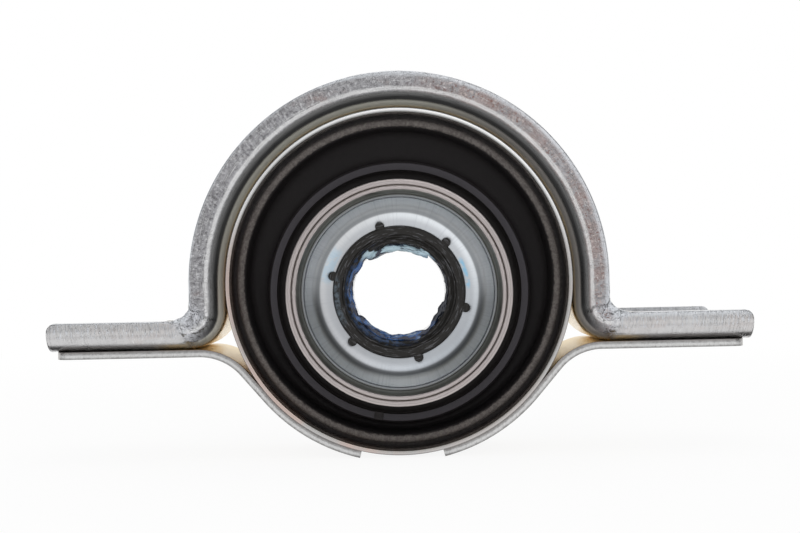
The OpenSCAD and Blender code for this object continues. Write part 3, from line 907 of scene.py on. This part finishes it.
class Finish(Nodes):
    """A material whose pattern is drawn in millimetres on the piece's own coordinates."""

    def __init__(self, name, **constants):
        self.material = bpy.data.materials.new(name)
        self.material.use_nodes = True
        super().__init__(self.material.node_tree)
        self.shader = self.nodes["Principled BSDF"]
        for socket, value in constants.items():
            self.shader.inputs[socket.replace("_", " ").title().replace("Ior", "IOR")].default_value = value
        texture = self.add("ShaderNodeTexCoord").outputs
        self.place = self.add("ShaderNodeVectorMath", texture["Object"], operation="SCALE",
                              Scale=1 / MM).outputs[0]
        self.facing = self.size(self.split(texture["Normal"])["Y"])

    def stretched(self, x, y, z, place=None):
        return self.vector("MULTIPLY", place or self.place, (x, y, z))[0]

    def noise(self, scale, detail=4.0, roughness=0.55, place=None):
        node = self.add("ShaderNodeTexNoise", Vector=place or self.place, Scale=scale, Detail=detail,
                        Roughness=roughness)
        return node.outputs[0]

    def mix(self, factor, first, second):
        node = self.add("ShaderNodeMix", data_type="RGBA")
        for index, source in zip((0, 6, 7), (factor, first, second)):
            self.feed(node.inputs[index], source)
        return node.outputs[2]

    def over(self, base, colour, *shares):
        """A colour laid over a base, by the product of some shares."""
        return self.mix(self.times(*shares), base, colour)

    def line(self, value, middle, width):
        """A soft line where a value passes a middle."""
        return self.rise(self.size(self.minus(value, middle)), width, width / 3)

    def round_about(self, centre_z):
        """Direction and radius round an axis along the shaft."""
        centred = self.vector("ADD", self.place, (0, 0, -centre_z))[0]
        flat = self.stretched(1, 0, 1, centred)
        return self.vector("NORMALIZE", flat)[0], self.vector("LENGTH", flat)["Value"]

    def wiped(self, direction, radius, along, across):
        """Place for marks drawn out round the shaft: how fine they are along the turn and across it."""
        rings = self.add("ShaderNodeCombineXYZ", 0, self.times(radius, across), 0).outputs[0]
        return self.vector("ADD", rings, self.stretched(along, along, along, direction))[0]

    def above_web(self, x, z):
        """Height above the bracket's web, along the feet, the corners and the arch."""
        reach = self.slant(x, self.above_zero(self.minus(z, RING_Z)))
        out = self.above_zero(self.minus(FOOT_X, reach))
        down = self.above_zero(self.minus(CORNER_Z, z))
        return self.minus(CORNER, self.slant(out, down))

    def outer_foot(self):
        """How far out along a foot: 0 at the corner, 1 towards the end."""
        return self.rise(self.size(self.split(self.place)["X"]), FOOT_X + 2, FOOT_X + 14)

    def below_strap(self):
        """Depth below a strap's upper face, along the sleeve, the bend and the flat end."""
        x, _, z = self.split(self.place)
        x = self.size(x)
        _, radius = self.round_about(RING_Z)
        bend_r, bend_x, hug_x = strap_bend()
        slope = math.radians(STRAP_SLOPE)
        bend_start = bend_x - bend_r * math.sin(slope)
        seam = 0.1
        short = self.above_zero(self.minus(bend_x, x))
        bent = self.slant(short, self.minus(z, FOOT_Z - bend_r))
        climb = self.times(self.minus(z, RING_Z), math.cos(slope))
        straight = self.minus(self.times(x, math.sin(slope)), climb)
        along = self.between(self.rise(x, hug_x, hug_x + seam), radius, straight)
        return self.between(self.rise(x, bend_start, bend_start + seam),
                            self.minus(along, WEB_R), self.minus(bend_r, bent))

    def patch(self, direction, radius, angle, width, inner, outer):
        """A soft patch round an angle in degrees, between two radii."""
        aim = (math.cos(math.radians(angle)), 0, math.sin(math.radians(angle)))
        near = self.vector("DOT_PRODUCT", direction, aim)["Value"]
        sector = self.rise(near, math.cos(math.radians(width)), math.cos(math.radians(width / 2)))
        soft = 0.4
        return self.times(sector, self.rise(radius, inner - soft, inner + soft),
                          self.rise(radius, outer + soft, outer - soft))

    def bump(self, height, depth):
        """Raises the surface by a height from 0 to 1 times a depth in millimetres."""
        node = self.add("ShaderNodeBump", Height=height, Distance=depth * MM, Strength=1.0)
        earlier = self.shader.inputs["Normal"].links
        if earlier:
            self.links.new(earlier[0].from_socket, node.inputs["Normal"])
        self.links.new(node.outputs[0], self.shader.inputs["Normal"])

    def colour(self, source):
        self.feed(self.shader.inputs["Base Color"], source)

    def roughness(self, source):
        self.feed(self.shader.inputs["Roughness"], source)


def grey(level, warmth=0.0):
    """An opaque grey, warmer above 0 and cooler below."""
    return (level * (1 + warmth), level, level * (1 - warmth), 1)


CREAM = (0.93, 0.745, 0.45, 1)


class PressedSheet(Finish):
    """The bracket's plating, with the places on the pressing that its marks follow."""

    def __init__(self, name):
        super().__init__(name)
        self.x, _, self.z = self.split(self.place)
        self.side = self.size(self.x)
        self.direction, self.radius = self.round_about(RING_Z)
        self.height = self.above_web(self.x, self.z)
        self.flat = self.rise(self.facing, 0.90, 0.985)
        self.foot = self.rise(self.side, FOOT_X - 1, FOOT_X + 1)
        self.right = self.times(self.rise(self.x, -5, 25), self.minus(1.0, self.foot))
        self.grain = self.noise(2.0, 5, 0.7)

    def plating(self):
        """Clouds of zinc with grain, smears and blotches, lighter on the feet, with reddish patches on the
        right.
        """
        base = self.mix(self.noise(0.11, 6, 0.6), (0.33, 0.325, 0.345, 1), (0.54, 0.54, 0.56, 1))
        base = self.over(base, (0.22, 0.21, 0.22, 1), self.rise(self.grain, 0.5, 0.78), 0.7)
        smears = self.rise(self.noise(0.1, 5, 0.6, self.stretched(0.6, 1, 1.2)), 0.52, 0.68)
        base = self.over(base, (0.38, 0.29, 0.27, 1), smears, 0.7)
        blotches = self.rise(self.noise(0.55, 5, 0.7), 0.44, 0.6)
        base = self.over(base, (0.19, 0.185, 0.195, 1), blotches, self.flat,
                         self.between(self.foot, 0.6, 0.25))
        base = self.over(base, grey(0.70, 0.01), self.foot, 0.6)
        reddish_patches = self.rise(self.noise(0.16, 5, 0.65), 0.38, 0.62)
        return self.over(base, (0.37, 0.27, 0.25, 1), self.right, reddish_patches, 0.65)

    def gathers(self, base):
        """Light lumps where the sheet is gathered in the corners."""
        away = self.plus(self.size(self.minus(self.side, WEB_R + ARCH_FLANGE)),
                         self.size(self.minus(self.z, FOOT_Z + FOOT_FLANGE)))
        near = self.rise(away, 9, 4)
        self.bump(self.times(self.noise(0.55, 2, 0.5), near), 1.6)
        return self.over(base, (0.68, 0.70, 0.75, 1), near, 0.6)

    def press_marks(self, base):
        """Short marks across the flange, light where they stand up and dark in the pits."""
        arch_marks = self.noise(1, 4, 0.65, self.wiped(self.direction, self.radius, 75, 0.8))
        foot_marks = self.noise(1, 4, 0.65, self.stretched(1.5, 0.05, 0.35))
        across = self.between(self.foot, arch_marks, foot_marks)
        marked = self.times(self.rise(self.noise(0.05, 3), 0.30, 0.44), self.flat)
        marks = self.times(self.rise(across, 0.51, 0.60), marked)
        pits = self.times(self.rise(across, 0.47, 0.37), marked)
        light = self.mix(self.right, (0.66, 0.66, 0.68, 1), (0.58, 0.50, 0.48, 1))
        light = self.mix(self.foot, light, (0.68, 0.71, 0.76, 1))
        dark = self.mix(self.right, (0.14, 0.135, 0.145, 1), (0.20, 0.11, 0.09, 1))
        self.bump(marks, 0.07)
        base = self.over(base, light, marks, 0.7)
        return self.over(base, dark, pits, self.between(self.foot, 0.8, 0.35))

    def scratches(self, base):
        """Fine bright and dark lines drawn along the arch."""
        drawn = self.noise(1, 2, 0.5, self.wiped(self.direction, self.radius, 4, 1.4))
        bright = self.line(drawn, 0.5, 0.014)
        self.bump(bright, 0.03)
        base = self.over(base, grey(0.85), bright, 0.6)
        return self.over(base, grey(0.2), self.line(drawn, 0.56, 0.012), self.flat, 0.7)

    def edges(self, base):
        """Painted highlights: a bright line along the top of the bend and a bright rim along the sheet's
        edge.
        """
        ragged = self.plus(self.height, self.times(self.noise(0.2, 4), 0.7))
        # Painted highlight: a bright line where the bend starts.
        crease_highlight = self.line(ragged, BEND - 0.4, 0.9)
        base = self.over(base, grey(0.9), crease_highlight, self.between(self.foot, 0.65, 0.2))
        top = self.between(self.foot, ARCH_FLANGE, FOOT_FLANGE)
        wide = self.rise(self.x, -30, 0)
        # Painted highlight: a bright band along the sheet's edge.
        rim = self.rise(self.minus(ragged, top), self.between(wide, -0.5, -1.8),
                        self.between(wide, 0.1, -0.4))
        return self.over(base, (0.76, 0.79, 0.83, 1), rim, self.between(self.foot, 0.75, 0.65))

    def bend(self, base):
        """The bend of the arch, with painted shade where it turns in, and painted light in the groove
        beside the sleeve.
        """
        curved = self.times(self.rise(self.side, FOOT_X + 5, WEB_R + 3), self.rise(self.facing, 0.3, 0.5))
        # Painted shade: dark in the bend where it turns in, darkest low in the bend.
        shade = self.mix(self.rise(self.height, 4.7, 3.1), grey(0.15), grey(0.03))
        base = self.over(base, shade, self.rise(self.height, 5.6, 4.5), curved)
        # Painted light: a pale olive colour in the groove beside the sleeve, paler on the left, and less
        # metallic there.
        groove = self.times(self.rise(self.height, 2.7, 2.0), curved)
        groove_light = self.mix(self.rise(self.x, 0, 40), (0.44, 0.43, 0.38, 1), (0.25, 0.235, 0.22, 1))
        self.feed(self.shader.inputs["Metallic"], self.between(groove, 1.0, 0.2))
        return self.over(base, groove_light, groove)

    def underside(self, base):
        """Cream under the web between the corners, greyer on top and towards the ends."""
        cream = self.mix(self.rise(self.height, 0.8, 1.6), CREAM, (0.56, 0.535, 0.49, 1))
        cream = self.mix(self.outer_foot(), cream, grey(0.55, 0.03))
        beneath = self.rise(self.facing, self.between(self.foot, 0.6, 0.3),
                            self.between(self.foot, 0.25, 0.1))
        return self.over(base, cream, beneath, 0.9)


def galvanised_sheet():
    """Plated pressing: cloudy grey with press marks, smears and scratches, cream under the web."""
    sheet = PressedSheet("galvanised_sheet")
    base = sheet.gathers(sheet.plating())
    base = sheet.scratches(sheet.press_marks(base))
    sheet.colour(sheet.underside(sheet.bend(sheet.edges(base))))
    sheet.roughness(sheet.plus(sheet.between(sheet.flat, 0.12, 0.28), sheet.times(sheet.grain, 0.14)))
    sheet.bump(sheet.grain, 0.05)
    return sheet.material


def strap_steel():
    """Plated strap steel: cream on the broad faces, grey with fine shear lines on the edges, which carry a
    painted shadow along their top and a painted highlight line lower down.
    """
    finish = Finish("strap_steel", metallic=1)
    edge = finish.rise(finish.facing, 0.5, 0.9)
    grain = finish.noise(2.2, 5, 0.7)
    shear = finish.noise(1, 4, 0.65, finish.stretched(2.6, 1, 0.5))
    blotches = finish.rise(finish.noise(0.9, 5, 0.7), 0.46, 0.6)
    ragged = finish.plus(finish.below_strap(), finish.times(finish.noise(0.5, 3), 0.5))
    base = finish.mix(finish.noise(0.15, 6), grey(0.34, 0.01), grey(0.56))
    base = finish.over(base, grey(0.22, 0.02), blotches, 0.6)
    base = finish.over(base, grey(0.24, 0.02), finish.rise(grain, 0.5, 0.7), 0.6)
    # Painted shadow along the top of the edge, where the strap lies against the bracket, then a painted
    # highlight line lower down, and darker again towards the lower face.
    base = finish.over(base, (0.26, 0.24, 0.235, 1), finish.rise(ragged, 1.0, 0.5), 0.75)
    base = finish.over(base, grey(0.86), finish.line(ragged, 1.6, 0.6), 0.55)
    base = finish.over(base, grey(0.22, 0.02), finish.rise(ragged, 2.2, 2.5), 0.75)
    base = finish.over(base, grey(0.36, 0.02), finish.rise(shear, 0.5, 0.7), edge, 0.6)
    faces = finish.mix(finish.rise(grain, 0.5, 0.8), CREAM, (0.72, 0.62, 0.49, 1))
    faces = finish.mix(finish.outer_foot(), faces, grey(0.52, 0.03))
    finish.colour(finish.mix(edge, faces, base))
    finish.roughness(finish.mapped(grain, 0.22, 0.46))
    finish.bump(finish.times(shear, edge), 0.08)
    finish.bump(grain, 0.05)
    return finish.material


def polished_sleeve():
    """The drawn outer sleeve: a painted highlight line on its edge, bright at the top, greyer lower down as
    painted shade, and pinkish brown in blotches low on the left.
    """
    finish = Finish("polished_sleeve", metallic=1)
    direction, radius = finish.round_about(RING_Z)
    across, _, up = finish.split(direction)
    low = finish.rise(up, 0.5, -0.1)
    left = finish.between(finish.rise(across, 0.4, -0.2), 0.25, 1.0)
    pink_blotches = finish.rise(finish.noise(2.6, 4, 0.6, direction), 0.35, 0.6)
    lines = finish.noise(9, 2, 0.5, finish.add("ShaderNodeCombineXYZ", radius, 0, 0).outputs[0])
    # Painted highlight: the front face is painted dark except for a bright line near its outer edge.
    beside_highlight = finish.minus(1.0, finish.line(radius, RING_R - 0.55, 0.75))
    base = finish.mix(finish.rise(lines, 0.5, 0.8), grey(0.80), grey(0.56))
    base = finish.over(base, grey(0.16), finish.rise(finish.facing, 0.6, 0.9), beside_highlight, 0.85)
    # Painted shade: greyer on the lower half.
    base = finish.over(base, grey(0.36, 0.03), low, 0.7)
    # Pinkish brown in blotches low down, most on the left.
    finish.colour(finish.over(base, (0.56, 0.45, 0.41, 1), low, left, pink_blotches))
    finish.roughness(finish.mapped(lines, 0.12, 0.3))
    finish.bump(lines, 0.03)
    return finish.material


def turned_rim():
    """The turned rim of the bearing sleeve, pinkish with fine lines, and olive on the wall inside, darkened
    there as painted shade.
    """
    finish = Finish("turned_rim", metallic=1)
    direction, radius = finish.round_about(0)
    uneven = finish.plus(finish.times(radius, 8.5), finish.times(finish.noise(0.6, 3), 7.0))
    lines = finish.mapped(finish.maths("SINE", uneven), 0.5, 1.0)
    base = finish.mix(finish.noise(3, 4, 0.6, direction), (0.44, 0.40, 0.39, 1), (0.60, 0.55, 0.54, 1))
    base = finish.over(base, (0.27, 0.24, 0.24, 1), lines, lines, 0.6)
    # Painted shade: the wall inside is a darker olive.
    finish.colour(finish.over(base, (0.34, 0.33, 0.28, 1), finish.rise(finish.facing, 0.6, 0.3)))
    finish.roughness(finish.mapped(lines, 0.2, 0.42))
    finish.bump(lines, 0.05)
    return finish.material


def zinc_shield():
    """Soft bluish zinc dish with faint radial streaks, painted shade in the bend and on the sheet's front
    rim, and a film of grease near the lip.
    """
    finish = Finish("zinc_shield", metallic=1)
    direction, radius = finish.round_about(0)
    across, _, up = finish.split(direction)
    streaks = finish.noise(42, 3, 0.6, direction)
    dish = finish.rise(radius, 27.5, 26.0)
    base = finish.mix(finish.noise(0.3, 5), (0.74, 0.78, 0.82, 1), (0.88, 0.91, 0.94, 1))
    base = finish.over(base, (0.58, 0.61, 0.65, 1), finish.rise(streaks, 0.48, 0.72), 0.45)
    # The dish is darker towards the bottom, and a little warmer and darker towards the left.
    base = finish.over(base, (0.38, 0.41, 0.45, 1), finish.rise(up, 0.7, -0.7), dish, 0.75)
    base = finish.over(base, (0.42, 0.40, 0.39, 1), finish.rise(across, 0.2, -0.8), dish, 0.4)
    base = finish.over(base, (0.46, 0.48, 0.51, 1), finish.rise(radius, 24.6, 22.6), 0.6)
    # Painted shade: dark in the bend between the flat and the cone, and on the sheet's front rim.
    bend = finish.times(finish.rise(radius, 25.0, 25.7), finish.rise(radius, 28.2, 26.2), 0.8)
    edge = finish.times(finish.rise(radius, 29.95, 30.15), finish.rise(finish.facing, 0.3, 0.6), 0.85)
    base = finish.over(base, (0.16, 0.17, 0.18, 1), finish.maths("MAXIMUM", bend, edge))
    thick = finish.patch(direction, radius, 15, 15, 21.5, 22.7)
    thin = finish.times(finish.patch(direction, radius, 158, 17, 22.0, 25.2), 0.35)
    torn = finish.rise(finish.noise(0.6, 3), 0.32, 0.54)
    finish.colour(finish.over(base, (0.30, 0.56, 0.76, 1), finish.plus(thick, thin), torn))
    finish.roughness(finish.mapped(streaks, 0.24, 0.42))
    finish.bump(streaks, 0.02)
    return finish.material


def cushion_rubber():
    """Moulded black rubber, with painted light on the crest of the rib and a mottled brown film on the bead
    by the outer sleeve.
    """
    finish = Finish("cushion_rubber", specular_ior_level=0.25)
    _, y, _ = finish.split(finish.place)
    _, radius = finish.round_about(RING_Z)
    mottle = finish.noise(0.5, 6, 0.65)
    fine = finish.noise(1.3, 5, 0.7)
    ragged = finish.plus(radius, finish.times(finish.noise(0.8, 5, 0.75), 1.6))
    film = finish.times(finish.rise(ragged, COLLAR_R + 1.0, COLLAR_R + 1.5),
                        finish.rise(ragged, COLLAR_R + 4.6, COLLAR_R + 2.6),
                        finish.rise(y, 6 - COLLAR_Y, 3 - COLLAR_Y))
    # Painted light: the crest of the rib is a little lighter.
    crest = finish.rise(y, 0.9 - CREST_Y, 0.2 - CREST_Y)
    brown = finish.mix(finish.rise(fine, 0.35, 0.65), (0.10, 0.088, 0.082, 1), (0.19, 0.17, 0.16, 1))
    base = finish.mix(mottle, (0.021, 0.018, 0.019, 1), (0.036, 0.032, 0.033, 1))
    base = finish.over(base, (0.050, 0.046, 0.053, 1), crest)
    finish.colour(finish.over(base, brown, film))
    finish.roughness(finish.mapped(mottle, 0.5, 0.75))
    finish.bump(finish.noise(1.8, 5, 0.7), 0.08)
    finish.bump(finish.times(film, fine), 0.12)
    return finish.material


def seal_rubber():
    """Black lip rubber, wet with grease near its edge, with lighter grease streaks that carry a painted
    sheen.
    """
    finish = Finish("seal_rubber", specular_ior_level=0.22)
    direction, radius = finish.round_about(0)
    mottle = finish.noise(1.2, 5)
    wet = finish.noise(0.7, 5, 0.6)
    film = finish.patch(direction, radius, 205, 100, 14.5, 17.4)
    smear = finish.patch(direction, radius, 188, 26, 19.2, 20.8)
    streaks = finish.noise(1, 4, 0.6, finish.wiped(direction, radius, 5, 2.6))
    base = finish.mix(mottle, grey(0.012, 0.08), grey(0.028, 0.08))
    # Grease streaks, lighter grey as a painted sheen.
    base = finish.over(base, (0.13, 0.13, 0.14, 1), finish.rise(streaks, 0.55, 0.64), 0.8)
    base = finish.over(base, (0.05, 0.08, 0.15, 1), film, finish.rise(wet, 0.42, 0.6))
    finish.colour(finish.over(base, (0.12, 0.15, 0.18, 1), smear, finish.rise(wet, 0.35, 0.6)))
    finish.roughness(finish.mapped(mottle, 0.25, 0.5))
    finish.bump(streaks, 0.2)
    finish.bump(finish.noise(3, 4), 0.05)
    return finish.material


def blue_grease():
    """Thick blue grease, pale in the film at the top, with light streaks at the bottom as painted
    highlights, and nearly black on the right.
    """
    finish = Finish("blue_grease", transmission_weight=0.25, ior=1.45, coat_weight=0.7)
    x, _, z = finish.split(finish.place)
    direction, radius = finish.round_about(0)
    swirl = finish.noise(1, 3, 0.55, finish.wiped(direction, radius, 4, 0.9))
    base = finish.mix(finish.rise(swirl, 0.45, 0.6), (0.012, 0.018, 0.05, 1), (0.04, 0.13, 0.36, 1))
    # Painted highlights: light streaks at the bottom.
    base = finish.over(base, (0.30, 0.38, 0.48, 1), finish.rise(z, -6, -12), finish.rise(swirl, 0.60, 0.68))
    base = finish.over(base, (0.012, 0.016, 0.03, 1), finish.rise(x, 8, 13))
    film = finish.rise(swirl, 0.36, 0.5)
    finish.colour(finish.over(base, (0.55, 0.74, 0.84, 1), film, finish.rise(z, 9, 12.5)))
    finish.roughness(finish.mapped(swirl, 0.08, 0.25))
    finish.bump(swirl, 0.5)
    return finish.material


def bearing_steel():
    finish = Finish("bearing_steel", metallic=1)
    haze = finish.noise(0.6, 4)
    finish.colour(finish.mix(haze, grey(0.62), grey(0.78)))
    finish.roughness(finish.mapped(haze, 0.12, 0.25))
    return finish.material


def cage_sheet():
    finish = Finish("cage_sheet", metallic=1)
    haze = finish.noise(1.1, 4)
    finish.colour(finish.mix(haze, (0.52, 0.47, 0.36, 1), (0.66, 0.61, 0.48, 1)))
    finish.roughness(finish.mapped(haze, 0.25, 0.4))
    return finish.material


# Stage

def pale_floor():
    """White where it is seen, with the shadow kept. Metal mirrors it dark under the object."""
    bpy.ops.object.select_all(action="DESELECT")
    bpy.ops.mesh.primitive_plane_add(size=FLOOR_SIZE, location=(0, 0, cad_box[0].z))
    floor = name_piece(bpy.context.object, "floor")
    material = bpy.data.materials.new("pale_floor")
    material.use_nodes = True
    tree = Nodes(material.node_tree)
    tree.nodes.clear()
    place = tree.add("ShaderNodeTexCoord").outputs["Object"]
    away = tree.vector("LENGTH", place)["Value"]
    seen, mirrored = tree.ray()
    clear = tree.rise(tree.size(tree.split(place)["Y"]), 0.015, 0.024)
    level = tree.between(mirrored, 1.0, tree.between(clear, DARK_ROOM, 1.0))
    share = tree.times(seen, tree.between(tree.rise(away, 0.15, 0.6), 0.9, 1.0))
    diffuse = tree.add("ShaderNodeBsdfDiffuse", Color=grey(0.9)).outputs[0]
    white = tree.add("ShaderNodeEmission", Strength=level).outputs[0]
    mixed = tree.add("ShaderNodeMixShader", tree.maths("MAXIMUM", share, mirrored), diffuse, white)
    tree.add("ShaderNodeOutputMaterial", mixed.outputs[0])
    floor.data.materials.append(material)


def studio_world():
    """Plain white light. Metal mirrors white behind the object, dark beside it and grey by the camera."""
    world = bpy.data.worlds.new("studio")
    bpy.context.scene.world = world
    world.use_nodes = True
    tree = Nodes(world.node_tree)
    tree.nodes.clear()
    y = tree.split(tree.add("ShaderNodeTexCoord").outputs["Generated"])["Y"]
    seen, mirrored = tree.ray()
    behind = tree.between(tree.rise(y, -0.1, 0.06), DARK_ROOM, 1.0)
    front = tree.between(tree.rise(y, -0.86, -0.95), 1.0, CAMERA_ROOM)
    room = tree.between(tree.rise(y, -0.60, -0.70), behind, front)
    level = tree.between(seen, tree.between(mirrored, PLAIN_LIGHT, room), 1.0)
    light = tree.add("ShaderNodeBackground", Color=grey(1), Strength=level)
    tree.add("ShaderNodeOutputWorld", light.outputs[0])


def soft_lamp(name, place, size, watts):
    """A soft square lamp that looks at the shaft's axis."""
    lamp = bpy.data.lights.new(name, "AREA")
    lamp.size = size
    lamp.energy = watts
    holder = bpy.data.objects.new(name, lamp)
    bpy.context.scene.collection.objects.link(holder)
    holder.location = place
    holder.rotation_euler = (-Vector(place)).to_track_quat("-Z", "Y").to_euler()


def photo_camera():
    """The photograph's view: nearly along the shaft, from a little above it, turned a little."""
    camera = bpy.data.objects.new("camera", bpy.data.cameras.new("camera"))
    bpy.context.scene.collection.objects.link(camera)
    camera.data.lens = CAMERA_LENS
    camera.data.sensor_width = CAMERA_SENSOR
    camera.data.clip_start = 0.01
    camera.location = Vector(CAMERA_PLACE) * MM
    camera.rotation_euler = (math.radians(90), math.radians(CAMERA_ROLL), 0)
    bpy.context.scene.camera = camera


def build():
    sheet, straps, rim = galvanised_sheet(), strap_steel(), turned_rim()
    shield, lip = zinc_shield(), seal_rubber()
    dress(upper_bracket(), "bracket", "bracket_sheet", sheet, "upper_bracket")
    for name, side in (("left", -1), ("right", 1)):
        dress(strap(f"bent_strap_{name}", side), "bracket", "strap_sheet", straps, f"lower_strap_{name}")
    dress(outer_sleeve(), "bracket", "sleeve_steel", polished_sleeve(), "outer_sleeve")
    dress(bearing_sleeve(), "bearing_carrier", "sleeve_steel", rim, "inner_sleeve")
    for name, end in (("front", -1), ("rear", 1)):
        dress(retaining_ring(f"{name}_rim_ring", end), "bearing_carrier", "ring_steel", rim,
              f"{name}_retaining_ring")
        dress(seal_shield(f"{name}_dish", end), "bearing_carrier", "zinc_sheet", shield,
              f"{name}_seal_shield")
        dress(seal_lip(f"{name}_lip", end), "bearing_carrier", "seal_rubber", lip, f"{name}_seal_lip")
    dress(grease(), "bearing_carrier", "seal_rubber", blue_grease())
    cushion, shares = rubber_cushion()
    cushion.data.materials.clear()
    cushion.data.materials.append(cushion_rubber())
    hang_between(cushion)
    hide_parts("rubber_cushion")
    finish_bearing(lip)


def finish_bearing(rubber):
    """Finishes for the bearing's own parts, which stay as packed."""
    steel, cage = bearing_steel(), cage_sheet()
    for name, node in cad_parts.items():
        if node.hide_render:
            continue
        finish = rubber if "seal" in name else cage if "cage_" in name and "rivets" not in name else steel
        node.data.materials.clear()
        node.data.materials.append(finish)


build()
pale_floor()
studio_world()
for lamp in LAMPS:
    soft_lamp(*lamp)
photo_camera()
bpy.context.scene.view_settings.view_transform = "Standard"
